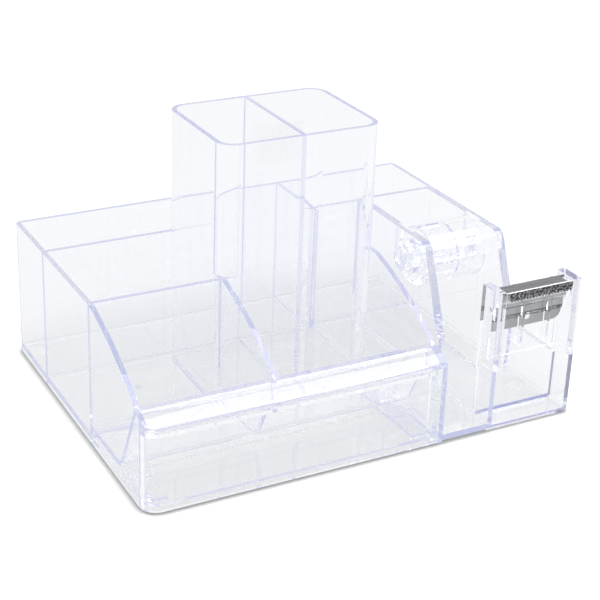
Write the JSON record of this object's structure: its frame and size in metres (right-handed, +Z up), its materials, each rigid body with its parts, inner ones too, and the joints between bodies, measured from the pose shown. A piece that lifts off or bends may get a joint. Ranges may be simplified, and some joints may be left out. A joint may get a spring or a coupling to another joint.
{
  "type": "desk organizer with tape dispenser",
  "caption": "Clear plastic desk organizer with a tall divided pen cup, low open compartments, a slim front drawer and a tape dispenser bay with a hub and a toothed cutter",
  "frame": {"origin": "The middle of the footprint, on the desk.", "axes": "X runs to the right along the long side, Y to the back, Z up. The drawer opens along -Y, and the tape dispenser is on the right."},
  "size_m": [0.19, 0.147, 0.117],
  "materials": {
    "clear_plastic": "polished, faint violet tint",
    "hub_plastic": "polished, faint violet tint",
    "blade_steel": "dark, reflecting",
    "foot_rubber": "clear soft rubber"
  },
  "bodies": {
    "organizer": {"organizer_body": "clear_plastic", "blade_holder": "clear_plastic", "cutting_blade": "blade_steel", "foot_front_left": "foot_rubber", "foot_front_right": "foot_rubber", "foot_back_left": "foot_rubber", "foot_back_right": "foot_rubber"},
    "drawer": {"drawer": "clear_plastic"},
    "axle": {"hub_axle": "hub_plastic"},
    "hub": {"tape_hub": "hub_plastic"}
  },
  "joints": [
    {"name": "drawer_slide", "type": "slide", "parent": "organizer", "child": "drawer", "axis": [0, -1, 0], "range_m": [0, 0.02]},
    {"name": "axle_lift", "type": "slide", "parent": "organizer", "child": "axle", "axis": [0, 0, 1], "range_m": [0, 0.0205]},
    {"name": "hub_spin", "type": "hinge", "parent": "axle", "child": "hub", "pos_m": [0.07765, 0.0009, 0.0474], "axis": [1, 0, 0], "continuous": true}
  ]
}
